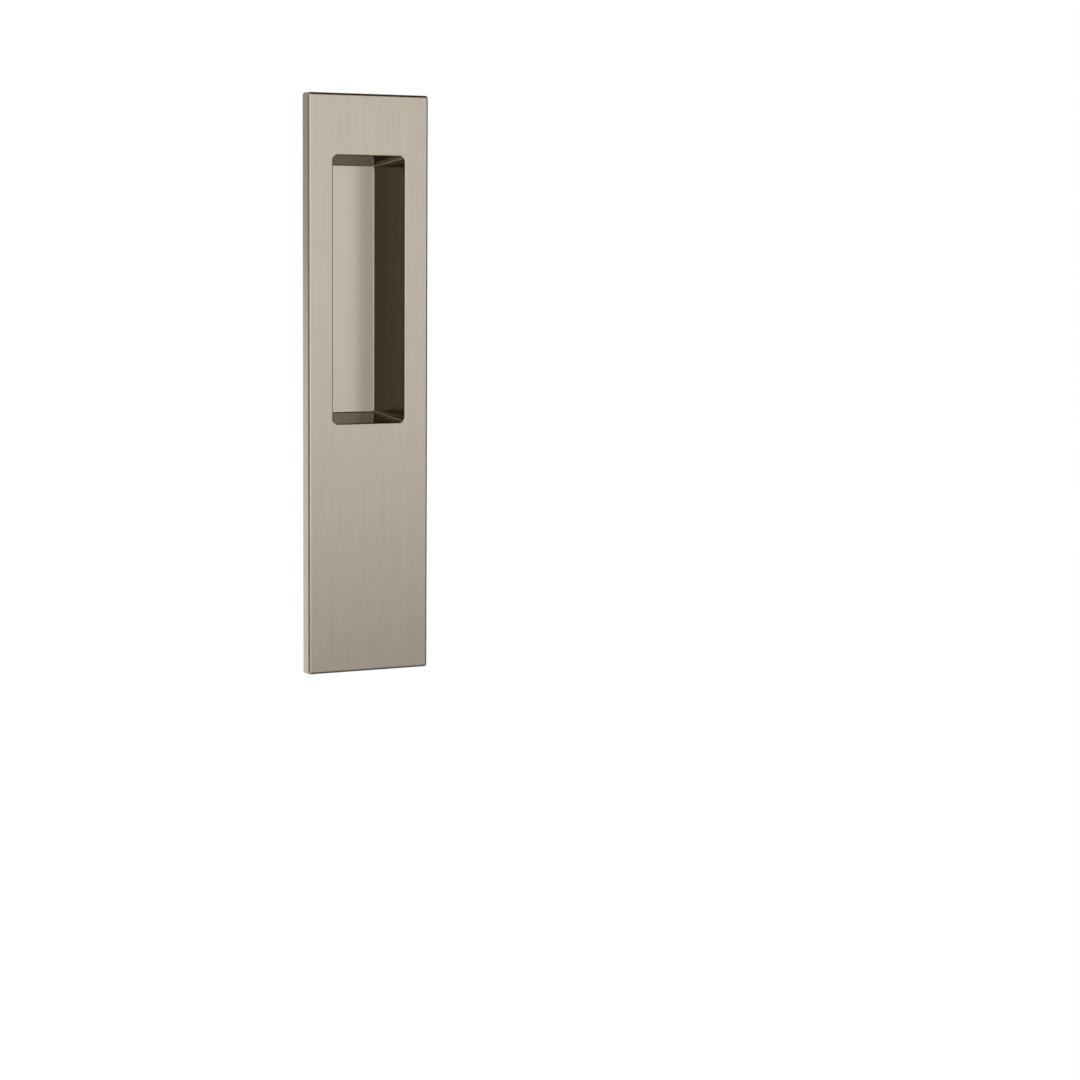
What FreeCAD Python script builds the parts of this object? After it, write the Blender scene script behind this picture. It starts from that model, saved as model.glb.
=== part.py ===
"""Flush pull for a sliding pocket door, 220 mm high, as a parametric document.

A die-cast body carries a flat face plate and a deep drafted finger recess. Two
turned posts are pressed into bosses on its hidden side and take the screws that
come through the door.

Frame: millimetres, +Z up, +X to the right seen from the room, +Y into the door.
The origin lies on the plane of the door's face, at the centre of the recess.
"""

import FreeCAD, Part
import math
import os

import Sketcher

DRIVING_SIZES = [
    ("plate_width", 50.8, "face plate across"),
    ("plate_height", 220.0, "face plate, top to bottom"),
    ("plate_thickness", 5.0, "how far the plate stands off the door"),
    ("skin", 2.0, "metal left behind the front face"),
    ("rim_width", 2.5, "rim round the hollow back, which meets the door"),
    ("hollow_corner_radius", 1.5, "inner corners of that rim"),
    ("outer_edge_round", 1.0, "front edges and corners of the plate"),
    ("rib_width", 1.6, "stiffening ribs of the hollow back"),
    ("rib_drop", 0.4, "how far the ribs stay below the rim"),
    ("rib_count", 12, "cross ribs, the end ones through the bosses"),
    ("opening_width", 30.4, "mouth of the finger recess across"),
    ("opening_height", 101.4, "mouth of the finger recess, top to bottom"),
    ("opening_from_top", 23.25, "plate's top edge to the mouth"),
    ("opening_corner_radius", 2.2, "corners of the mouth"),
    ("opening_edge_round", 0.5, "edge between front face and recess walls"),
    ("recess_depth", 19.5, "front face to the recess floor"),
    ("floor_inset", 3.2, "how far the draft brings each wall in by the floor"),
    ("floor_corner_radius", 1.1, "corners of the recess floor"),
    ("floor_edge_round", 0.3, "fillet between recess walls and floor"),
    ("tray_wall", 2.0, "metal round the recess"),
    ("tray_floor", 2.0, "metal behind the recess floor"),
    ("tray_back_round", 2.0, "back edges of the tray"),
    ("fixing_inset", 11.5, "axis of each post to the plate's end"),
    ("boss_diameter", 12.0, "cast bosses that hold the posts"),
    ("boss_rise", 4.0, "bosses beyond the door's face"),
    ("boss_chamfer", 0.6, "outer edge of each boss"),
    ("shank_diameter", 7.0, "pressed end of each post, and its socket"),
    ("shank_length", 6.0, "pressed end of each post"),
    ("shank_lead", 0.5, "lead-in chamfer of the pressed end"),
    ("socket_bottom_gap", 0.5, "room left under the pressed end"),
    ("collar_diameter", 11.0, "collar that seats on the boss"),
    ("collar_thickness", 1.5, "collar along the post"),
    ("post_diameter", 9.0, "post behind the collar"),
    ("post_length", 16.0, "boss end to the tip of the post"),
    ("post_chamfer", 0.6, "outer edge of the tip"),
    ("thread_diameter", 5.0, "screw thread that the post takes"),
    ("tap_drill_diameter", 4.2, "hole drilled for that thread"),
    ("thread_depth", 13.0, "full depth of the drilled hole"),
    ("mouth_chamfer", 0.3, "how far the mouth's chamfer passes the thread"),
    ("drill_point_length", 1.26, "cone left by the drill's tip"),
]


def add_sheet(doc):
    """Driving dimensions, one row each: name, value, what it is."""
    sheet = doc.addObject("Spreadsheet::Sheet", "sizes")
    for row, (alias, size, meaning) in enumerate(DRIVING_SIZES, start=1):
        sheet.set(f"A{row}", alias)
        sheet.set(f"B{row}", str(size))
        sheet.set(f"C{row}", meaning)
        sheet.setAlias(f"B{row}", alias)
    doc.recompute()
    return sheet


def bind(obj, path, expression):
    """Tie one property to the sheet; braces in the expression mark its names."""
    obj.setExpression(path, expression.replace("{", "<<sizes>>.").replace("}", ""))


# Places that several features share, as expressions of the driving dimensions.
PLATE_TOP = "({opening_height} / 2 + {opening_from_top})"
PLATE_BOTTOM = f"({PLATE_TOP} - {{plate_height}})"
UPPER_FIXING = f"({PLATE_TOP} - {{fixing_inset}})"
LOWER_FIXING = f"({PLATE_BOTTOM} + {{fixing_inset}})"
FRONT_FACE = "(-{plate_thickness})"
HOLLOW_FLOOR = "({skin} - {plate_thickness})"
MIDDLE_OF_SKIN = "({skin} / 2 - {plate_thickness})"
RECESS_FLOOR = "({recess_depth} - {plate_thickness})"
TRAY_BACK = f"({RECESS_FLOOR} + {{tray_floor}})"
DRAFT = "({floor_inset} / {recess_depth})"


def origin_plane(body, role):
    """One of the body's own origin planes, by its role."""
    return next(item for item in body.Origin.OriginFeatures if item.Role == role)


def sketch_at_depth(body, name, depth):
    """A sketch parallel to the door: its x is X, its y is Z, at y = depth."""
    sketch = body.newObject("Sketcher::SketchObject", name)
    sketch.AttachmentSupport = [(origin_plane(body, "XZ_Plane"), "")]
    sketch.MapMode = "FlatFace"
    bind(sketch, ".AttachmentOffset.Base.z", f"-({depth})")
    return sketch


def drawn_size(sketch, kind, elements):
    """What a dimension measures as drawn, before the sheet drives it."""
    if kind == "Radius":
        return sketch.Geometry[elements[0]].Radius
    if kind == "Diameter":
        return 2 * sketch.Geometry[elements[0]].Radius
    start = sketch.getPoint(*elements[:2])
    end = sketch.getPoint(*elements[2:])
    return end.x - start.x if kind == "DistanceX" else end.y - start.y


def dimension(sketch, name, kind, elements, expression):
    """A named driving dimension of a sketch, tied to the sheet."""
    size = drawn_size(sketch, kind, elements)
    index = sketch.addConstraint(Sketcher.Constraint(kind, *elements, size))
    sketch.renameConstraint(index, name)
    bind(sketch, f"Constraints.{name}", expression)


def draw_rounded_rectangle(sketch, width, height, middle, radius):
    """Four sides and four tangent corner arcs, centred across, at height middle."""
    half_w, half_h, r = 20.0, 50.0, 4.0
    corners = [(1, 1), (-1, 1), (-1, -1), (1, -1)]
    up = FreeCAD.Vector(0, 0, 1)
    for number, (sx, sy) in enumerate(corners):
        centre = FreeCAD.Vector(sx * (half_w - r), sy * (half_h - r), 0)
        circle = Part.Circle(centre, up, r)
        start = number * math.pi / 2
        sketch.addGeometry(Part.ArcOfCircle(circle, start, start + math.pi / 2))
    sides = [
        ((half_w - r, half_h), (r - half_w, half_h)),
        ((-half_w, half_h - r), (-half_w, r - half_h)),
        ((r - half_w, -half_h), (half_w - r, -half_h)),
        ((half_w, r - half_h), (half_w, half_h - r)),
    ]
    for start, end in sides:
        sketch.addGeometry(Part.LineSegment(FreeCAD.Vector(*start, 0), FreeCAD.Vector(*end, 0)))
    top, left, bottom, right = range(4, 8)
    for number, side in enumerate((top, left, bottom, right)):
        sketch.addConstraint(Sketcher.Constraint("Tangent", number, 2, side, 1))
        sketch.addConstraint(Sketcher.Constraint("Tangent", side, 2, (number + 1) % 4, 1))
    for level, upright in ((top, right), (bottom, left)):
        sketch.addConstraint(Sketcher.Constraint("Horizontal", level))
        sketch.addConstraint(Sketcher.Constraint("Vertical", upright))
    for number in (1, 2, 3):
        sketch.addConstraint(Sketcher.Constraint("Equal", 0, number))
    dimension(sketch, "width", "DistanceX", (left, 1, right, 1), width)
    dimension(sketch, "right", "DistanceX", (-1, 1, right, 1), f"({width}) / 2")
    dimension(sketch, "height", "DistanceY", (bottom, 1, top, 1), height)
    dimension(sketch, "top", "DistanceY", (-1, 1, top, 1), f"{middle} + ({height}) / 2")
    dimension(sketch, "radius", "Radius", (0,), radius)


def draw_rectangle(sketch, width, bottom, top):
    """A plain rectangle, centred across, between two heights."""
    corners = [FreeCAD.Vector(x, y, 0) for x, y in ((-20, -50), (20, -50), (20, 50), (-20, 50))]
    for start, end in zip(corners, corners[1:] + corners[:1]):
        sketch.addGeometry(Part.LineSegment(start, end))
    for number in range(4):
        sketch.addConstraint(Sketcher.Constraint("Coincident", number, 2, (number + 1) % 4, 1))
    sketch.addConstraint(Sketcher.Constraint("Horizontal", 2))
    for upright in (1, 3):
        sketch.addConstraint(Sketcher.Constraint("Vertical", upright))
    sketch.addConstraint(Sketcher.Constraint("Symmetric", 0, 1, 0, 2, -2))
    dimension(sketch, "width", "DistanceX", (0, 1, 0, 2), width)
    dimension(sketch, "bottom", "DistanceY", (-1, 1, 0, 1), bottom)
    dimension(sketch, "top", "DistanceY", (-1, 1, 2, 1), top)


def draw_fixing_circles(sketch, diameter):
    """One circle on each fixing's axis."""
    for name, height, start in (("upper", UPPER_FIXING, 50), ("lower", LOWER_FIXING, -50)):
        circle = Part.Circle(FreeCAD.Vector(0, start, 0), FreeCAD.Vector(0, 0, 1), 5)
        number = sketch.addGeometry(circle)
        sketch.addConstraint(Sketcher.Constraint("PointOnObject", number, 3, -2))
        dimension(sketch, f"{name}_height", "DistanceY", (-1, 1, number, 3), height)
        dimension(sketch, f"{name}_diameter", "Diameter", (number,), diameter)


def pad(body, name, sketch, length, into_door=True):
    """Metal from the sketch's plane, into the door or out towards the room."""
    feature = body.newObject("PartDesign::Pad", name)
    feature.Profile = sketch
    feature.Reversed = into_door
    bind(feature, "Length", length)
    body.Document.recompute()
    return feature


def pocket(body, name, sketch, length):
    """Metal cut away from the sketch's plane out towards the room."""
    before = body.Shape.Volume
    feature = body.newObject("PartDesign::Pocket", name)
    feature.Profile = sketch
    feature.Reversed = True
    bind(feature, "Length", length)
    body.Document.recompute()
    if body.Shape.Volume >= before:
        raise RuntimeError(f"{name} cuts nothing")
    return feature


def edge_names(feature, wanted):
    """Names of the feature's edges for which wanted(edge) is true."""
    return [f"Edge{n}" for n, edge in enumerate(feature.Shape.Edges, start=1) if wanted(edge)]


def lies_at(edge, depth):
    """Whether an edge lies wholly in the plane y = depth."""
    return abs(edge.BoundBox.YMin - depth) < 0.01 and abs(edge.BoundBox.YMax - depth) < 0.01


def recess_loop(feature, depth, reach_x, reach_z):
    """Edges at y = depth that go round the recess, within reach of its centre."""

    def wanted(edge):
        box = edge.BoundBox
        within_x = -reach_x < box.XMin and box.XMax < reach_x
        return lies_at(edge, depth) and within_x and -reach_z < box.ZMin and box.ZMax < reach_z

    return edge_names(feature, wanted)


def dress(body, kind, name, base, names, path, size):
    """A fillet or chamfer on the named edges of the last feature."""
    feature = body.newObject(f"PartDesign::{kind}", name)
    feature.Base = (base, names)
    bind(feature, path, size)
    body.Document.recompute()
    return feature


def make_plate(body, read):
    """Face plate with its front edges and corners broken."""
    outline = sketch_at_depth(body, "plate_outline", "0")
    draw_rectangle(outline, "{plate_width}", PLATE_BOTTOM, PLATE_TOP)
    plate = pad(body, "plate", outline, "{plate_thickness}", into_door=False)
    behind = -read("plate_thickness") / 10

    def seen_from_the_room(edge):
        return edge.BoundBox.YMin < behind

    names = edge_names(plate, seen_from_the_room)
    return dress(body, "Fillet", "plate_edges", plate, names, "Radius", "{outer_edge_round}")


def make_hollow_back(body):
    """Cored-out back inside the rim."""
    outline = sketch_at_depth(body, "hollow_outline", "0")
    draw_rounded_rectangle(
        outline,
        "{plate_width} - 2 * {rim_width}",
        "{plate_height} - 2 * {rim_width}",
        f"({PLATE_TOP} + {PLATE_BOTTOM}) / 2",
        "{hollow_corner_radius}",
    )
    pocket(body, "hollow", outline, "{plate_thickness} - {skin}")


def make_ribs(body):
    """A centre rib and a row of cross ribs over the hollow's floor."""
    rib_height = "{plate_thickness} - {skin} - {rib_drop}"
    spine = sketch_at_depth(body, "centre_rib_outline", HOLLOW_FLOOR)
    half_rim = "{rim_width} / 2"
    draw_rectangle(spine, "{rib_width}", f"{PLATE_BOTTOM} + {half_rim}", f"{PLATE_TOP} - {half_rim}")
    pad(body, "centre_rib", spine, rib_height)
    across = sketch_at_depth(body, "cross_rib_outline", HOLLOW_FLOOR)
    half_rib = "{rib_width} / 2"
    draw_rectangle(
        across,
        "{plate_width} - {rim_width}",
        f"{LOWER_FIXING} - {half_rib}",
        f"{LOWER_FIXING} + {half_rib}",
    )
    rib = pad(body, "cross_rib", across, rib_height)
    ribs = body.newObject("PartDesign::LinearPattern", "cross_ribs")
    ribs.Originals = [rib]
    ribs.Direction = (across, ["V_Axis"])
    bind(ribs, "Length", "{plate_height} - 2 * {fixing_inset}")
    bind(ribs, "Occurrences", "{rib_count}")
    body.Tip = ribs
    body.Document.recompute()


def recess_section(body, name, depth, distance_in, wall, radius):
    """Section of the recess at y = depth, distance_in from the front, grown by wall."""
    sketch = sketch_at_depth(body, name, depth)
    shrink = f"2 * ({wall} - {DRAFT} * ({distance_in}))"
    draw_rounded_rectangle(
        sketch, f"{{opening_width}} + {shrink}", f"{{opening_height}} + {shrink}", "0", radius
    )
    return sketch


def make_tray(body, read):
    """Outside of the recess: a drafted tray with rounded back edges."""
    front = recess_section(
        body,
        "tray_front_section",
        MIDDLE_OF_SKIN,
        "{skin} / 2",
        "{tray_wall}",
        "{opening_corner_radius} + {tray_wall}",
    )
    back = recess_section(
        body,
        "tray_back_section",
        TRAY_BACK,
        "{recess_depth} + {tray_floor}",
        "{tray_wall}",
        "{floor_corner_radius} + {tray_wall}",
    )
    tray = body.newObject("PartDesign::AdditiveLoft", "tray")
    tray.Profile = front
    tray.Sections = [back]
    tray.Ruled = True
    body.Document.recompute()
    depth = read("recess_depth") - read("plate_thickness") + read("tray_floor")
    names = recess_loop(tray, depth, read("opening_width"), read("opening_height"))
    dress(body, "Fillet", "tray_back_edges", tray, names, "Radius", "{tray_back_round}")


def make_bosses(body, read):
    """Two bosses on the hollow's floor, through the door's plane, with sockets."""
    outline = sketch_at_depth(body, "boss_outline", HOLLOW_FLOOR)
    draw_fixing_circles(outline, "{boss_diameter}")
    bosses = pad(body, "bosses", outline, f"{{boss_rise}} - {HOLLOW_FLOOR}")
    rise = read("boss_rise")
    names = edge_names(bosses, lambda edge: lies_at(edge, rise))
    dress(body, "Chamfer", "boss_ends", bosses, names, "Size", "{boss_chamfer}")
    socket = sketch_at_depth(body, "socket_outline", "{boss_rise}")
    draw_fixing_circles(socket, "{shank_diameter}")
    pocket(body, "sockets", socket, "{shank_length} + {socket_bottom_gap}")


def make_recess(body, read):
    """The finger recess itself, drafted, with a rounded mouth and floor."""
    mouth = recess_section(body, "mouth_section", FRONT_FACE, "0", "0", "{opening_corner_radius}")
    floor = recess_section(
        body, "floor_section", RECESS_FLOOR, "{recess_depth}", "0", "{floor_corner_radius}"
    )
    before = body.Shape.Volume
    recess = body.newObject("PartDesign::SubtractiveLoft", "recess")
    recess.Profile = mouth
    recess.Sections = [floor]
    recess.Ruled = True
    body.Document.recompute()
    if body.Shape.Volume >= before:
        raise RuntimeError("the recess cuts nothing")
    reach_x = read("opening_width") * 0.6
    reach_z = read("opening_height") * 0.6
    depth = read("recess_depth") - read("plate_thickness")
    names = recess_loop(recess, depth, reach_x, reach_z)
    floored = dress(body, "Fillet", "floor_edges", recess, names, "Radius", "{floor_edge_round}")
    names = recess_loop(floored, -read("plate_thickness"), reach_x, reach_z)
    dress(body, "Fillet", "mouth_edges", floored, names, "Radius", "{opening_edge_round}")


def make_pull_body(doc, read):
    """The casting: plate, hollow back with ribs, tray, bosses, recess."""
    body = doc.addObject("PartDesign::Body", "pull_body")
    body.Label = "pull_body"
    make_plate(body, read)
    make_hollow_back(body)
    make_ribs(body)
    make_tray(body, read)
    make_bosses(body, read)
    make_recess(body, read)
    return body


def draw_turned_outline(sketch, stations):
    """Closed outline through (along the axis, radius) stations, each dimensioned."""
    count = len(stations)
    circle = Part.Circle(FreeCAD.Vector(0, 30, 0), FreeCAD.Vector(0, 0, 1), 10)
    points = [circle.value(2 * math.pi * number / count) for number in range(count)]
    for start, end in zip(points, points[1:] + points[:1]):
        sketch.addGeometry(Part.LineSegment(start, end))
    for number in range(count):
        sketch.addConstraint(Sketcher.Constraint("Coincident", number, 2, (number + 1) % count, 1))
    for number, (along, radius) in enumerate(stations):
        dimension(sketch, f"along_{number}", "DistanceX", (-1, 1, number, 1), along)
        if radius == "0":
            sketch.addConstraint(Sketcher.Constraint("PointOnObject", number, 1, -1))
        else:
            dimension(sketch, f"radius_{number}", "DistanceY", (-1, 1, number, 1), radius)


def turn(body, kind, name, stations):
    """Revolve an outline round the post's axis, as metal or as a cut."""
    sketch = body.newObject("Sketcher::SketchObject", f"{name}_outline")
    sketch.AttachmentSupport = [(origin_plane(body, "YZ_Plane"), "")]
    sketch.MapMode = "FlatFace"
    draw_turned_outline(sketch, stations)
    feature = body.newObject(f"PartDesign::{kind}", name)
    feature.Profile = sketch
    feature.ReferenceAxis = (sketch, ["H_Axis"])
    feature.Angle = 360
    body.Document.recompute()
    return feature


def make_threaded_post(doc, name, height):
    """A turned steel post: pressed shank, seating collar, tapped blind hole."""
    post = doc.addObject("PartDesign::Body", name)
    post.Label = name
    outside = [
        ("-{shank_length}", "0"),
        ("-{shank_length}", "{shank_diameter} / 2 - {shank_lead}"),
        ("-{shank_length} + {shank_lead}", "{shank_diameter} / 2"),
        ("0 mm", "{shank_diameter} / 2"),
        ("0 mm", "{collar_diameter} / 2"),
        ("{collar_thickness}", "{collar_diameter} / 2"),
        ("{collar_thickness}", "{post_diameter} / 2"),
        ("{post_length} - {post_chamfer}", "{post_diameter} / 2"),
        ("{post_length}", "{post_diameter} / 2 - {post_chamfer}"),
        ("{post_length}", "0"),
    ]
    turn(post, "Revolution", "outside", outside)
    before = post.Shape.Volume
    mouth_radius = "{thread_diameter} / 2 + {mouth_chamfer}"
    mouth_depth = f"({mouth_radius} - {{tap_drill_diameter}} / 2)"
    hole = [
        ("{post_length}", "0"),
        ("{post_length}", mouth_radius),
        (f"{{post_length}} - {mouth_depth}", "{tap_drill_diameter} / 2"),
        ("{post_length} - {thread_depth}", "{tap_drill_diameter} / 2"),
        ("{post_length} - {thread_depth} - {drill_point_length}", "0"),
    ]
    turn(post, "Groove", "tapped_hole", hole)
    if post.Shape.Volume >= before:
        raise RuntimeError("the tapped hole cuts nothing")
    bind(post, ".Placement.Base.y", "{boss_rise}")
    bind(post, ".Placement.Base.z", height)
    return post


def check_and_export(doc, sub_parts):
    """Stop at any failed feature or bad solid, then write one file each."""
    doc.recompute()
    for item in doc.Objects:
        if "Invalid" in item.State or "Error" in item.State:
            raise RuntimeError(f"{item.Name} failed: {item.State}")
    for item in sub_parts:
        if item.Shape.isNull() or not item.Shape.isValid() or len(item.Shape.Solids) != 1:
            raise RuntimeError(f"{item.Label} is not one sound solid")
    os.makedirs("parts", exist_ok=True)
    for item in sub_parts:
        item.Shape.exportStep(f"parts/{item.Label}.step")
        box = item.Shape.BoundBox
        print(
            f"{item.Label}: {item.Shape.Volume / 1000:.2f} cm3,"
            f" x {box.XMin:.2f} to {box.XMax:.2f},"
            f" y {box.YMin:.2f} to {box.YMax:.2f},"
            f" z {box.ZMin:.2f} to {box.ZMax:.2f}"
        )


doc = FreeCAD.newDocument("pocket_door_pull")
sheet = add_sheet(doc)
sub_parts = [make_pull_body(doc, sheet.get)]
for post_name, post_height in (
    ("threaded_post_upper", UPPER_FIXING),
    ("threaded_post_lower", LOWER_FIXING),
):
    sub_parts.append(make_threaded_post(doc, post_name, post_height))
check_and_export(doc, sub_parts)
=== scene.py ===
# %% [markdown]
# # A flush pull in brushed satin nickel
#
# The object is one casting with a flat face plate and a deep, drafted finger recess,
# and two turned posts pressed into its hidden side. The frame holds their real sizes,
# in metres: +Z is up, +X is to the right, and the front face looks along -Y. This
# notebook gives the frame its finishes, its screw threads, a studio and a camera.

import math

import bpy
import numpy as np
from mathutils import Matrix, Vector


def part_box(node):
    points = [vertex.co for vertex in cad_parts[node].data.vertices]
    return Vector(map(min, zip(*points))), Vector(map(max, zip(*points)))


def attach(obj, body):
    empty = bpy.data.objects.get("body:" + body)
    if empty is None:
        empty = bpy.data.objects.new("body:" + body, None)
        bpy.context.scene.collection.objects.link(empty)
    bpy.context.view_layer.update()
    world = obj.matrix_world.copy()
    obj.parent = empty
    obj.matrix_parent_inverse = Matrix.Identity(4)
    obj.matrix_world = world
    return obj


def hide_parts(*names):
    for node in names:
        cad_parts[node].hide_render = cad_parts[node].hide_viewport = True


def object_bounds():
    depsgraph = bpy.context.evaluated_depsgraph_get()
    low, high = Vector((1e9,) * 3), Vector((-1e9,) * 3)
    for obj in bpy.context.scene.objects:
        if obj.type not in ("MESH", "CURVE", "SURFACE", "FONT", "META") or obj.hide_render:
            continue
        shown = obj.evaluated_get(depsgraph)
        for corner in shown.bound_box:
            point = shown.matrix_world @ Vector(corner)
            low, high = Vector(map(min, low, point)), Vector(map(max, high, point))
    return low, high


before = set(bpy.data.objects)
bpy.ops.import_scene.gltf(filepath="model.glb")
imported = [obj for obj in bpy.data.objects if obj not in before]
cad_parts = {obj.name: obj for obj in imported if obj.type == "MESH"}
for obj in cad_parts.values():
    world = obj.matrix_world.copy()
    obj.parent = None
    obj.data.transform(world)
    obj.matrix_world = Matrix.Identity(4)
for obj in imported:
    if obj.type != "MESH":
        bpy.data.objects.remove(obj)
cad_low, cad_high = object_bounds()
MM = 0.001
print("object box in mm:", [round(v / MM, 1) for v in (*cad_low, *cad_high)])

# %% [markdown]
# ## Shader maths in plain expressions
#
# A material is a graph of nodes, and a page of node links is hard to read. The class
# `Value` wraps one output socket. Its operators add Math nodes, so a mask can be
# written as `1 - edge * 2`. Everything that isn't plain arithmetic goes through one
# method, `Graph.add`, which takes the node's type, its settings, and the values or
# links of its inputs.

# %% Socket arithmetic


class Graph:
    """The nodes of one material or world."""

    def __init__(self, owner):
        owner.use_nodes = True
        self.nodes = owner.node_tree.nodes
        self.links = owner.node_tree.links
        self.nodes.clear()

    def add(self, node_type, settings=None, inputs=None, output=0):
        """A node with its settings made first, then its inputs; returns one output."""
        node = self.nodes.new(node_type)
        for name, value in (settings or {}).items():
            setattr(node, name, value)
        for name, value in (inputs or {}).items():
            self.feed(node.inputs[name], value)
        return Value(self, node.outputs[output]) if len(node.outputs) else node

    def feed(self, socket, value):
        """Link a wrapped socket, or set a plain value."""
        if isinstance(value, Value):
            self.links.new(value.socket, socket)
        else:
            socket.default_value = value


class Value:
    """One output socket, on which arithmetic works."""

    def __init__(self, graph, socket):
        self.graph = graph
        self.socket = socket

    def output(self, name):
        """Another output of the same node."""
        return Value(self.graph, self.socket.node.outputs[name])

    def math(self, operation, *others):
        inputs = dict(enumerate((self, *others)))
        return self.graph.add("ShaderNodeMath", {"operation": operation}, inputs)

    def __add__(self, other):
        return self.math("ADD", other)

    __radd__ = __add__

    def __sub__(self, other):
        return self.math("SUBTRACT", other)

    def __rsub__(self, other):
        return self * -1.0 + other

    def __mul__(self, other):
        return self.math("MULTIPLY", other)

    __rmul__ = __mul__

    def __abs__(self):
        return self.math("ABSOLUTE")

    def at_least(self, other):
        """The larger of the two."""
        return self.math("MAXIMUM", other)

    def step(self, start, end):
        """0 before start, 1 after end, and evenly from one to the other between."""
        inputs = {"Value": self, "From Min": start, "From Max": end}
        return self.graph.add("ShaderNodeMapRange", {"clamp": True}, inputs)


print("socket arithmetic ready")

# %% [markdown]
# ## What every finish needs
#
# A finish is worked out from where a point lies in the object's own frame, so that it
# stays on the metal when the view changes. The helpers give that place, a noise with
# its own grain along each axis, a mix of two colours, a relief that tilts the surface,
# and the Principled shader at the end of each material.

# %% Helpers for the finishes
# A Mix node has sockets for numbers, vectors and colours side by side. These are the
# places of its factor and of its sockets for colours.
MIX_FACTOR, MIX_FIRST, MIX_SECOND, MIX_RESULT = 0, 6, 7, 2
RELIEF_STRENGTH = 0.2


def place(graph):
    """A surface point in the object's own frame, in metres: whole, and its x, y, z."""
    coordinates = graph.add("ShaderNodeTexCoord", output="Object")
    split = graph.add("ShaderNodeSeparateXYZ", inputs={"Vector": coordinates})
    return coordinates, [split.output(name) for name in "XYZ"]


def noise(graph, coordinates, grains_per_metre, detail=3.0):
    """Noise from 0 to 1, with its own number of grains per metre along each axis."""
    inputs = {"Vector": coordinates, "Scale": grains_per_metre}
    scaled = graph.add("ShaderNodeMapping", inputs=inputs)
    inputs = {"Vector": scaled, "Scale": 1.0, "Detail": detail}
    return graph.add("ShaderNodeTexNoise", inputs=inputs)


def mix_colour(graph, factor, first, second):
    """One colour at factor 0, the other at factor 1."""
    inputs = {MIX_FACTOR: factor, MIX_FIRST: first, MIX_SECOND: second}
    return graph.add("ShaderNodeMix", {"data_type": "RGBA"}, inputs, output=MIX_RESULT)


def relief(graph, height, depth):
    """A normal tilted as by a relief of height times depth, the depth in metres."""
    inputs = {"Strength": RELIEF_STRENGTH, "Distance": depth, "Height": height}
    return graph.add("ShaderNodeBump", inputs=inputs)


def finish_material(graph, **inputs):
    """A Principled surface with these inputs, linked to the output."""
    names = {key.replace("_", " ").title(): value for key, value in inputs.items()}
    surface = graph.add("ShaderNodeBsdfPrincipled", inputs=names)
    graph.add("ShaderNodeOutputMaterial", inputs={"Surface": surface})


print("finish helpers ready")

# %% [markdown]
# ## Where each finish lies
#
# The casting is one mesh with three finishes: brushed outside, finer inside the finger
# recess, and left as cast behind. The edges between them could be painted by hand, but
# masks worked out from the recess's own sizes are exact. A point is in the recess when
# it lies within the mouth's outline, drawn in by the draft at the point's depth, and
# it is hidden when it lies behind the face and inside the plate's outer sides. Each
# pair below says where one finish starts to give way to the next, and where it has.

# %% Masks for the three finishes
PLATE_FRONT = cad_low.y
HALF_WIDTH = cad_high.x
PLATE_TOP = cad_high.z
PLATE_BOTTOM = cad_low.z
MOUTH_HALF_WIDTH = 15.2 * MM
MOUTH_HALF_HEIGHT = 50.7 * MM
RECESS_DEPTH = 19.5 * MM
FLOOR_INSET = 3.2 * MM
DRAFT = FLOOR_INSET / RECESS_DEPTH
PAST_RECESS_WALL = (0.4 * MM, 0.9 * MM)
BEHIND_FACE = (0.05 * MM, 0.3 * MM)
BEHIND_FRONT_ROUND = (1.2 * MM, 1.6 * MM)
NEAR_OUTER_SIDE = (-0.25 * MM, -0.05 * MM)
NEAR_RECESS_FLOOR = (-0.6 * MM, -0.15 * MM)


def recess_mask(x, depth, z):
    """1 on the walls and floor of the finger recess, 0 on all other surfaces."""
    inward = depth * DRAFT
    past_side = abs(x) + inward - MOUTH_HALF_WIDTH
    past_end = abs(z) + inward - MOUTH_HALF_HEIGHT
    within = 1 - past_side.at_least(past_end).step(*PAST_RECESS_WALL)
    return within * depth.step(*BEHIND_FACE)


def wall_mask(depth, recess):
    """1 on the walls of the recess, 0 on its floor and elsewhere."""
    return recess * (1 - (depth - RECESS_DEPTH).step(*NEAR_RECESS_FLOOR))


def hidden_mask(x, depth, z, recess):
    """1 on the back, behind the front face and inside the plate's outer sides."""
    middle = (PLATE_TOP + PLATE_BOTTOM) / 2
    half_height = (PLATE_TOP - PLATE_BOTTOM) / 2
    past_outline = (abs(x) - HALF_WIDTH).at_least(abs(z - middle) - half_height)
    inside = 1 - past_outline.step(*NEAR_OUTER_SIDE)
    return depth.step(*BEHIND_FRONT_ROUND) * inside * (1 - recess)


print("recess draft in degrees:", round(math.degrees(math.atan(DRAFT)), 1))

# %% [markdown]
# ## Satin nickel, brushed along its length
#
# The real finish is nickel over a casting that was brushed from end to end. Its fine
# scratches run along Z, and they spread a reflection sideways. A flat grey would look
# like paint, so the material has three layers of streaks. The broad and the middle
# ones shift the tone, the middle ones shift the roughness too, and the fine ones tilt
# the surface. A brush hardly reaches into the recess, so its inside is smoother and
# keeps a quarter of the streaks. Its walls take a much darker colour, which is painted
# shade, with faint bands round them. The back has the even grain of the mould.

# %% Satin nickel
NICKEL = (0.475, 0.423, 0.355, 1.0)
NICKEL_DEEP = (0.417, 0.369, 0.308, 1.0)
FLOOR_NICKEL = (0.43, 0.382, 0.325, 1.0)
# The two wall colours are painted shade: the recess walls are made darker than the nickel.
WALL_PAINTED_SHADE = (0.313, 0.27, 0.217, 1.0)
WALL_PAINTED_SHADE_DEEP = (0.25, 0.216, 0.172, 1.0)
CAST_NICKEL = (0.40, 0.37, 0.32, 1.0)
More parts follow.
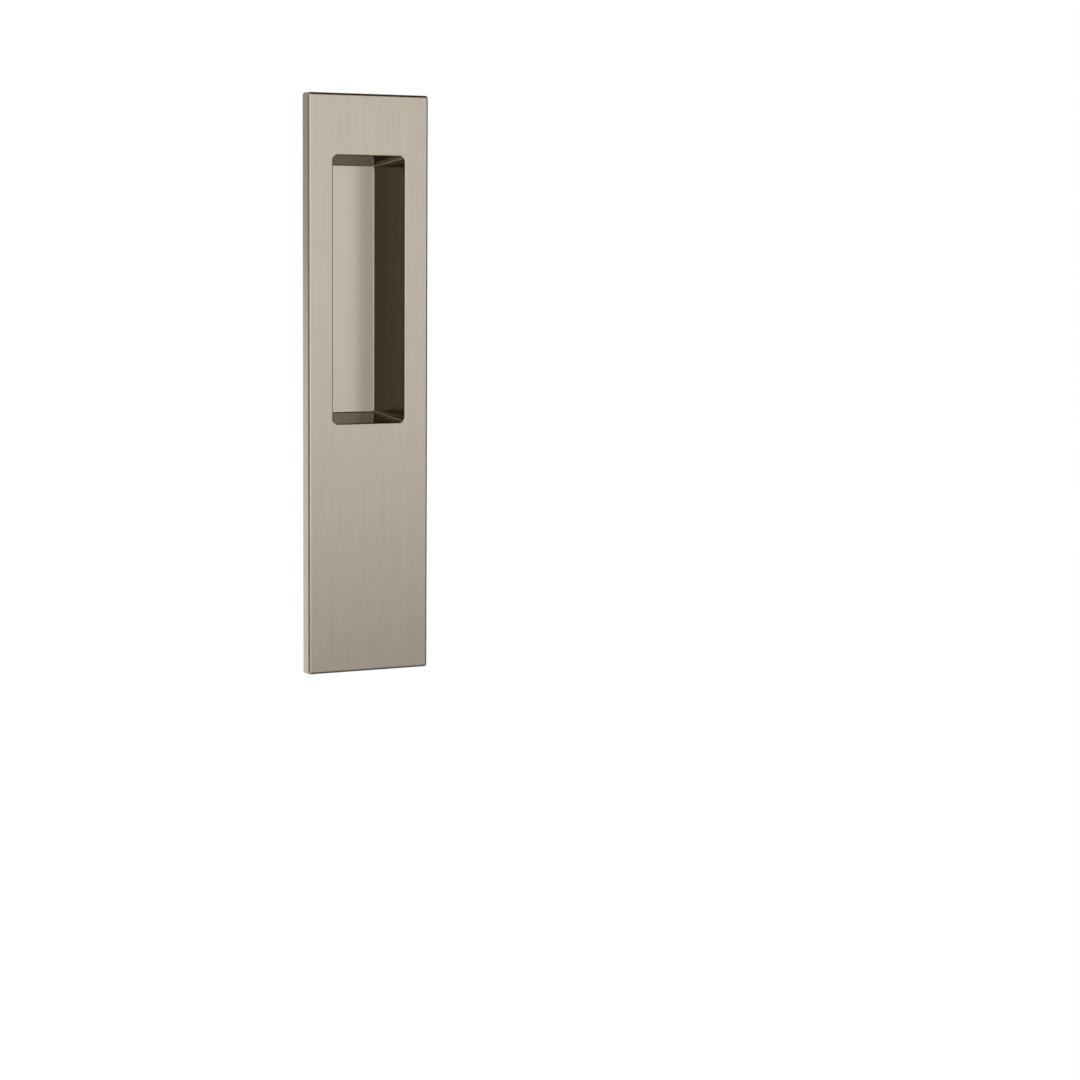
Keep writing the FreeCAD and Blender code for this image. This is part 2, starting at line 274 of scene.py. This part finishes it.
# Grains per metre along x, y and z: a streak is long where the number is small.
BROAD_STREAKS = (420, 420, 26)
MIDDLE_STREAKS = (1500, 1500, 110)
FINE_STREAKS = (5200, 5200, 180)
WALL_BANDS = (6, 300, 6)
CAST_GRAIN = (1800, 1800, 1800)
# Noise and tone run from 0 to 1, and each layer shifts the tone about its middle.
MIDWAY = 0.5
BROAD_SHIFT = 0.8
MIDDLE_SHIFT = 1.1
BAND_SHIFT = 1.8
# The satin's roughness, and what each layer or place adds to it.
SATIN_ROUGHNESS = 0.30
STREAKS_ADD = 0.05
CAST_ADDS = 0.14
RECESS_ADDS = -0.06
WALL_ADDS = -0.11
STREAKS_LOST_IN_RECESS = 0.75
FINE_STREAK_HEIGHT = 0.35
NICKEL_RELIEF = 0.02 * MM
BRUSHED_SPREAD = 0.35


def satin_nickel():
    """The colour is one mix on another: brushed face, recess floor, walls darkened by painted
    shade, back.
    """
    material = bpy.data.materials.new("satin_nickel_brushed")
    graph = Graph(material)
    coordinates, (x, y, z) = place(graph)
    depth = y - PLATE_FRONT
    recess = recess_mask(x, depth, z)
    wall = wall_mask(depth, recess)
    hidden = hidden_mask(x, depth, z, recess)
    brushed = (1 - recess * STREAKS_LOST_IN_RECESS) * (1 - hidden)

    broad = noise(graph, coordinates, BROAD_STREAKS) - MIDWAY
    middle = noise(graph, coordinates, MIDDLE_STREAKS) - MIDWAY
    fine = noise(graph, coordinates, FINE_STREAKS, detail=2.0)
    bands = noise(graph, coordinates, WALL_BANDS) - MIDWAY
    grain = noise(graph, coordinates, CAST_GRAIN)

    tone = (broad * BROAD_SHIFT + middle * MIDDLE_SHIFT) * brushed + MIDWAY
    wall_tone = bands * BAND_SHIFT + MIDWAY
    colour = mix_colour(graph, tone, NICKEL_DEEP, NICKEL)
    colour = mix_colour(graph, recess, colour, FLOOR_NICKEL)
    # Painted shade: the recess walls take a darker colour, varied by faint random bands.
    wall_painted_shade = mix_colour(graph, wall_tone, WALL_PAINTED_SHADE_DEEP, WALL_PAINTED_SHADE)
    colour = mix_colour(graph, wall, colour, wall_painted_shade)
    colour = mix_colour(graph, hidden, colour, CAST_NICKEL)

    roughness = middle * brushed * STREAKS_ADD + hidden * CAST_ADDS
    roughness = roughness + recess * RECESS_ADDS + wall * WALL_ADDS + SATIN_ROUGHNESS
    height = fine * brushed * FINE_STREAK_HEIGHT + grain * hidden
    finish_material(
        graph,
        base_color=colour,
        metallic=1.0,
        roughness=roughness,
        normal=relief(graph, height, NICKEL_RELIEF),
        anisotropic=BRUSHED_SPREAD,
    )
    return material


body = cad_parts["pull_body"]
body.material_slots[0].material = satin_nickel()
print("body faces:", len(body.data.polygons))

# %% [markdown]
# ## The outside of a turned post
#
# Each post came off a lathe, so its outside is a profile carried round an axis. The
# profile runs from the pressed shank, over the collar that seats on the casting's
# boss, to the free end. A spun curve would do for this much, but the thread below
# needs a radius that changes with the turn, so both are rows of y and radius.

# %% Outside of a post
AROUND = 96
COLLAR_SEAT = 4.0 * MM
COLLAR_RADIUS = 5.5 * MM
COLLAR_THICKNESS = 1.5 * MM
SHANK_RADIUS = 3.5 * MM
SHANK_LEAD = 0.5 * MM
POST_RADIUS = 4.5 * MM
TIP_CHAMFER = 0.6 * MM
EDGE_BREAK = 0.15 * MM
MOUTH_RADIUS = 2.8 * MM
turn = np.linspace(0, 2 * np.pi, AROUND, endpoint=False)


def outside_profile(low, high):
    """Rows of y and radius from the pressed end to the rim of the hole's mouth, each
    radius the same all the way round."""
    collar_back = COLLAR_SEAT + COLLAR_THICKNESS
    stations = np.array(
        [
            (low, SHANK_RADIUS - SHANK_LEAD),
            (low + SHANK_LEAD, SHANK_RADIUS),
            (COLLAR_SEAT, SHANK_RADIUS),
            (COLLAR_SEAT, COLLAR_RADIUS - EDGE_BREAK),
            (COLLAR_SEAT + EDGE_BREAK, COLLAR_RADIUS),
            (collar_back - EDGE_BREAK, COLLAR_RADIUS),
            (collar_back, COLLAR_RADIUS - EDGE_BREAK),
            (collar_back, POST_RADIUS),
            (high - TIP_CHAMFER, POST_RADIUS),
            (high, POST_RADIUS - TIP_CHAMFER),
            (high, MOUTH_RADIUS),
        ]
    )
    return stations[:, :1] + 0 * turn, stations[:, 1:] + 0 * turn


print("points round a post:", AROUND)

# %% [markdown]
# ## A real screw thread
#
# The frame carries a plain drilled hole, and the real post has a thread cut in it. The
# thread is the hole's own surface with one more term: the radius also rises and falls
# with the depth less the turn, which draws a helix. The ridge is a triangle wave that
# would stand higher than the thread, cut flat at its crest and root, and it fades out
# near the bottom of the hole, where a tap stops short. A countersink widens the mouth.

# %% Thread
THREAD_PITCH = 0.8 * MM
THREAD_OUTER = 2.5 * MM
DRILL_RADIUS = 2.1 * MM
DRILL_DEPTH = 13.0 * MM
DRILL_POINT = 1.26 * MM
ROWS_PER_PITCH = 12
WAVE_PEAK = 1.35
WAVE_SLOPE = 3.2
PLAIN_TURNS = 1.0
FADING_TURNS = 2.0
FIRST_ROW_SHARE = 0.2


def thread_surface(high):
    """Rows of y and radius down the hole: the drill's radius plus a ridge whose phase
    is (depth / pitch - turn), and never less than the mouth's countersink."""
    countersink = MOUTH_RADIUS - DRILL_RADIUS
    rows = int((DRILL_DEPTH - countersink) / THREAD_PITCH * ROWS_PER_PITCH)
    depth = np.linspace(countersink * FIRST_ROW_SHARE, DRILL_DEPTH, rows)[:, None]
    phase = np.mod(depth / THREAD_PITCH - turn / (2 * np.pi), 1.0)
    ridge = np.clip(WAVE_PEAK - WAVE_SLOPE * np.abs(phase - 0.5), 0.0, 1.0)
    turns_left = (DRILL_DEPTH - depth) / THREAD_PITCH
    fade = np.clip((turns_left - PLAIN_TURNS) / FADING_TURNS, 0.0, 1.0)
    radius = DRILL_RADIUS + (THREAD_OUTER - DRILL_RADIUS) * ridge * fade
    return high - depth + 0 * turn, np.maximum(radius, MOUTH_RADIUS - depth)


print("thread pitch in mm:", THREAD_PITCH / MM)

# %% [markdown]
# ## Posts in their places
#
# Outside and thread are one closed skin, with a fan of triangles to the axis at each
# end. The frame's plain posts are hidden, and these take their place in the picture.

# %% Posts
SHARP_ANGLE = math.radians(28)


def revolved_mesh(name, y, radius, axis_z, low_pole, high_pole):
    """A closed mesh: x = r sin t, z = axis + r cos t, over rows of y and radius, with
    a fan to a point on the axis at each end."""
    rows = len(y)
    points = np.stack([radius * np.sin(turn), y, axis_z + radius * np.cos(turn)], axis=-1)
    poles = [(0.0, low_pole, axis_z), (0.0, high_pole, axis_z)]
    vertices = np.concatenate([points.reshape(-1, 3), poles])
    index = np.arange(rows * AROUND).reshape(rows, AROUND)
    ahead = np.roll(index, -1, axis=1)
    quads = np.stack([index[:-1], ahead[:-1], ahead[1:], index[1:]], axis=-1).reshape(-1, 4)
    first, last = rows * AROUND, rows * AROUND + 1
    start_fan = np.stack([np.full(AROUND, first), ahead[0], index[0]], axis=-1)
    end_fan = np.stack([np.full(AROUND, last), index[-1], ahead[-1]], axis=-1)
    faces = [*quads.tolist(), *start_fan.tolist(), *end_fan.tolist()]
    mesh = bpy.data.meshes.new(name)
    mesh.from_pydata(vertices.tolist(), [], faces)
    mesh.polygons.foreach_set("use_smooth", np.ones(len(mesh.polygons), bool))
    mesh.set_sharp_from_angle(angle=SHARP_ANGLE)
    mesh.update()
    return mesh


def threaded_post(node_name):
    """One post on the axis of the frame's plain one, and as long."""
    low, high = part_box(node_name)
    axis_z = (low.z + high.z) / 2
    outside_y, outside_radius = outside_profile(low.y, high.y)
    inside_y, inside_radius = thread_surface(high.y)
    y = np.concatenate([outside_y, inside_y])
    radius = np.concatenate([outside_radius, inside_radius])
    drill_tip = high.y - DRILL_DEPTH - DRILL_POINT
    mesh = revolved_mesh(f"{node_name}_turned", y, radius, axis_z, low.y, drill_tip)
    post = bpy.data.objects.new(mesh.name, mesh)
    bpy.context.scene.collection.objects.link(post)
    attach(post, "root")
    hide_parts(node_name)
    return post


posts = [threaded_post(name) for name in ("threaded_post_upper", "threaded_post_lower")]
for post in posts:
    print(post.name, "has", len(post.data.polygons), "faces")

# %% [markdown]
# ## Turned steel
#
# A lathe leaves rings. On these posts the rings repeat along Y, about seven to the
# millimetre, so a wave of that length along Y tilts the surface a little, and a slow
# noise keeps the rings from looking printed.

# %% Turned steel
STEEL = (0.52, 0.53, 0.55, 1.0)
STEEL_DULL = (0.40, 0.40, 0.41, 1.0)
RING_PITCH = 0.14 * MM
STEEL_CLOUD = (500, 900, 500)
STEEL_ROUGHNESS = 0.24
CLOUD_ADDS = 0.12
CLOUD_HEIGHT = 2.0
STEEL_RELIEF = 0.01 * MM


def turned_steel():
    """Rings are the sine of y over their pitch; a cloud shifts tone and roughness."""
    material = bpy.data.materials.new("turned_steel_rings")
    graph = Graph(material)
    coordinates, (_, y, _) = place(graph)
    rings = (y * (2 * math.pi / RING_PITCH)).math("SINE")
    cloud = noise(graph, coordinates, STEEL_CLOUD, detail=4.0)
    finish_material(
        graph,
        base_color=mix_colour(graph, cloud, STEEL_DULL, STEEL),
        metallic=1.0,
        roughness=cloud * CLOUD_ADDS + STEEL_ROUGHNESS,
        normal=relief(graph, rings + cloud * CLOUD_HEIGHT, STEEL_RELIEF),
    )
    return material


steel = turned_steel()
for post in posts:
    post.data.materials.append(steel)
print("steel on", len(posts), "posts")

# %% [markdown]
# ## A studio made of plain panels
#
# Satin metal has hardly any colour of its own: it shows what stands round it. So large
# plain panels stand round the object, as in a product studio, bright, grey or dark.
# Each one is a patch of a sphere, given by its compass bearing and its height above
# the horizon. They could be lamps, but a panel that glows at its own plain level is
# easier to judge, and the camera and the floor can be kept from seeing it.

# %% Panels
NEAR, FAR = 1.1, 2.4
COLUMNS, ROWS = 25, 17
WARM = np.array((1.08, 1.0, 0.90))
PLAIN = np.array((1.0, 1.0, 1.0))
COOL = np.array((0.92, 0.98, 1.05))


def plain_emission(name, colour):
    material = bpy.data.materials.new(name)
    graph = Graph(material)
    glow = graph.add("ShaderNodeEmission", inputs={"Color": (*colour, 1.0), "Strength": 1.0})
    graph.add("ShaderNodeOutputMaterial", inputs={"Surface": glow})
    return material


def panel(name, bearing, elevation, distance, level, tint):
    """A patch of a sphere: bearing 0 is in front of the plate, 90 to its right, and
    elevation is above the horizon, both as (from, to) in degrees. A point is distance
    times (sin b cos e, -cos b cos e, sin e)."""
    across = np.radians(np.linspace(*bearing, COLUMNS))[:, None]
    upward = np.radians(np.linspace(*elevation, ROWS))[None, :]
    right = np.sin(across) * np.cos(upward)
    back = -np.cos(across) * np.cos(upward)
    above = np.sin(upward) + 0 * across
    points = distance * np.stack([right, back, above], axis=-1)
    index = np.arange(COLUMNS * ROWS).reshape(COLUMNS, ROWS)
    faces = np.stack([index[:-1, :-1], index[1:, :-1], index[1:, 1:], index[:-1, 1:]], axis=-1)
    mesh = bpy.data.meshes.new(name)
    mesh.from_pydata(points.reshape(-1, 3).tolist(), [], faces.reshape(-1, 4).tolist())
    mesh.materials.append(plain_emission(name, level * tint))
    card = bpy.data.objects.new(name, mesh)
    bpy.context.scene.collection.objects.link(card)
    card.visible_camera = False
    card.visible_diffuse = False
    card.visible_shadow = False
    return card


# Name, bearing, elevation, distance in metres, level and tint.
PANELS = [
    ("grey_panel_left", (-125, -66), (-56, 20), NEAR, 0.36, WARM),
    ("dark_panel_left_low", (-65.5, -33), (-56, -12), NEAR, 0.085, WARM),
    ("dim_panel_left", (-65.5, -33), (-11.9, 10), NEAR, 0.21, WARM),
    ("dark_panel_left_high", (-65.5, -33), (10.1, 20), NEAR, 0.085, WARM),
    ("grey_panel_left_back", (-200, -127), (-1.2, 20), FAR, 0.55, WARM),
    ("bright_panel_left_back", (-200, -127), (-56, -1.7), FAR, 1.2, PLAIN),
    ("dark_panel_above", (-36, 155), (19.5, 89), FAR, 0.03, WARM),
    ("grey_panel_above", (-204, -37), (20.5, 89), FAR, 0.60, WARM),
    ("bright_patch_above", (-24, 0), (31, 50), NEAR, 1.42, COOL),
    ("bright_patch_below", (-24, 0), (-50, -29), NEAR, 1.28, COOL),
    ("bright_strip", (-32, 10), (-10, 9.2), FAR, 2.05, COOL),
    ("bright_panel", (10.5, 26), (-7.6, 9), FAR, 1.30, PLAIN),
    ("bright_panel_right", (26.5, 44), (-7.6, 9), FAR, 1.34, PLAIN),
    ("bright_panel_high", (10.5, 50), (9.5, 19.3), FAR, 1.13, WARM),
    ("strip_head", (-32, 10), (9.5, 19.3), FAR, 1.75, WARM),
    ("grey_panel_low", (10.5, 50), (-56, -10), FAR, 0.38, WARM),
    ("strip_foot", (-32, 10), (-56, -10.5), FAR, 0.85, WARM),
    ("grey_panel_lower", (6, 50), (-40, -27), NEAR, 0.65, PLAIN),
    ("dark_panel_right", (45, 105), (-56, 20), NEAR, 0.04, WARM),
    ("dark_panel_right_back", (106, 155), (-11, 20), NEAR, 0.04, WARM),
    ("bright_panel_right_back", (106, 155), (-56, -11.5), FAR, 1.1, PLAIN),
    ("dark_panel_below", (25, 155), (-89, -57), NEAR, 0.04, WARM),
    ("dark_panel_front_below", (6, 105), (-56.5, -41), NEAR, 0.04, WARM),
]
panels = [panel(*settings) for settings in PANELS]
print("panels:", [card.name for card in panels])

# %% [markdown]
# ## A white floor and a white world
#
# The background is plain white, and the metal has to see that white too. More lamp
# light would burn the object out. Light Path tells rays apart instead: the camera,
# mirror and glass rays see a whiter floor and world than the rays that light the
# object. The floor keeps a share of plain paint, which still takes a soft shadow.

# %% Floor and world
FLOOR_DROP = 1.0
FLOOR_REACH = 8.0
FLOOR_GLOW = 0.7
FLOOR_PAINT = (0.9, 0.9, 0.9, 1.0)
SKY_GREY = (0.8, 0.8, 0.8, 1.0)
WHITE = (1.0, 1.0, 1.0, 1.0)


def seen_by_eye_or_metal(graph):
    """1 for camera, mirror and glass rays, 0 for the rest."""
    camera_ray = graph.add("ShaderNodeLightPath", output="Is Camera Ray")
    mirror_ray = camera_ray.output("Is Glossy Ray")
    glass_ray = camera_ray.output("Is Transmission Ray")
    return camera_ray.at_least(mirror_ray).at_least(glass_ray)


def pale_floor():
    """One square under the object, part paint and part glow."""
    height = PLATE_BOTTOM - FLOOR_DROP
    sides = ((-1, -1), (1, -1), (1, 1), (-1, 1))
    corners = [(FLOOR_REACH * x, FLOOR_REACH * y, height) for x, y in sides]
    mesh = bpy.data.meshes.new("floor")
    mesh.from_pydata(corners, [], [(0, 1, 2, 3)])
    material = bpy.data.materials.new("pale_floor")
    graph = Graph(material)
    paint = graph.add("ShaderNodeBsdfDiffuse", inputs={"Color": FLOOR_PAINT})
    glow = graph.add("ShaderNodeEmission", inputs={"Color": WHITE, "Strength": 1.0})
    glowing = seen_by_eye_or_metal(graph) * FLOOR_GLOW
    surface = graph.add("ShaderNodeMixShader", inputs={"Fac": glowing, 1: paint, 2: glow})
    graph.add("ShaderNodeOutputMaterial", inputs={"Surface": surface})
    mesh.materials.append(material)
    floor = bpy.data.objects.new("floor", mesh)
    bpy.context.scene.collection.objects.link(floor)
    return floor


floor = pale_floor()
world = bpy.data.worlds.new("white_studio")
bpy.context.scene.world = world
sky = Graph(world)
sky_colour = mix_colour(sky, seen_by_eye_or_metal(sky), SKY_GREY, WHITE)
background = sky.add("ShaderNodeBackground", inputs={"Color": sky_colour, "Strength": 1.0})
sky.add("ShaderNodeOutputWorld", inputs={"Surface": background})
print(floor.name, "reaches", FLOOR_REACH, "m each way, under", world.name)

# %% [markdown]
# ## One soft lamp
#
# A sun lamp whose disc is forty degrees wide lights like a large soft box and falls off
# nowhere, so the floor is evenly white and still takes the object's shadow. Metal would
# mirror the disc as a second bright spot, so the lamp is hidden from mirror rays.

# %% Soft lamp
LAMP_ENERGY = 1.2
LAMP_WIDTH = math.radians(40)
LAMP_FORWARD = math.radians(32)
LAMP_SIDEWAYS = math.radians(-12)
lamp_data = bpy.data.lights.new("soft_lamp", "SUN")
lamp_data.energy = LAMP_ENERGY
lamp_data.angle = LAMP_WIDTH
lamp = bpy.data.objects.new("soft_lamp", lamp_data)
bpy.context.scene.collection.objects.link(lamp)
lamp.rotation_euler = (LAMP_FORWARD, LAMP_SIDEWAYS, 0)
lamp.visible_glossy = False
print("lamp energy:", lamp_data.energy)

# %% [markdown]
# ## The camera
#
# The photograph was taken from the left, level with the upper part of the plate, with
# a lens a little longer than a portrait lens. The object fills the left part of the
# picture. A shifted lens would keep its upright edges parallel, but it would push
# the object off centre in other views, so the camera looks down by a few degrees.

# %% Camera
CAMERA_PLACE = (-514.2 * MM, -1029.8 * MM, 16.1 * MM)
CAMERA_TURN = math.radians(29.925)
CAMERA_DIP = math.radians(5.548)
CAMERA_ROLL = math.radians(0.352)
LENS = 100.0
SENSOR_WIDTH = 36.0
camera_data = bpy.data.cameras.new("camera")
camera_data.lens = LENS
camera_data.sensor_width = SENSOR_WIDTH
camera = bpy.data.objects.new("camera", camera_data)
bpy.context.scene.collection.objects.link(camera)
camera.location = CAMERA_PLACE
turned = Matrix.Rotation(-CAMERA_TURN, 3, "Z")
raised = Matrix.Rotation(math.pi / 2 - CAMERA_DIP, 3, "X")
rolled = Matrix.Rotation(CAMERA_ROLL, 3, "Z")
camera.rotation_euler = (turned @ raised @ rolled).to_euler()
bpy.context.scene.camera = camera
bpy.context.scene.view_settings.view_transform = "Standard"
print("camera distance in mm:", round(camera.location.length / MM))
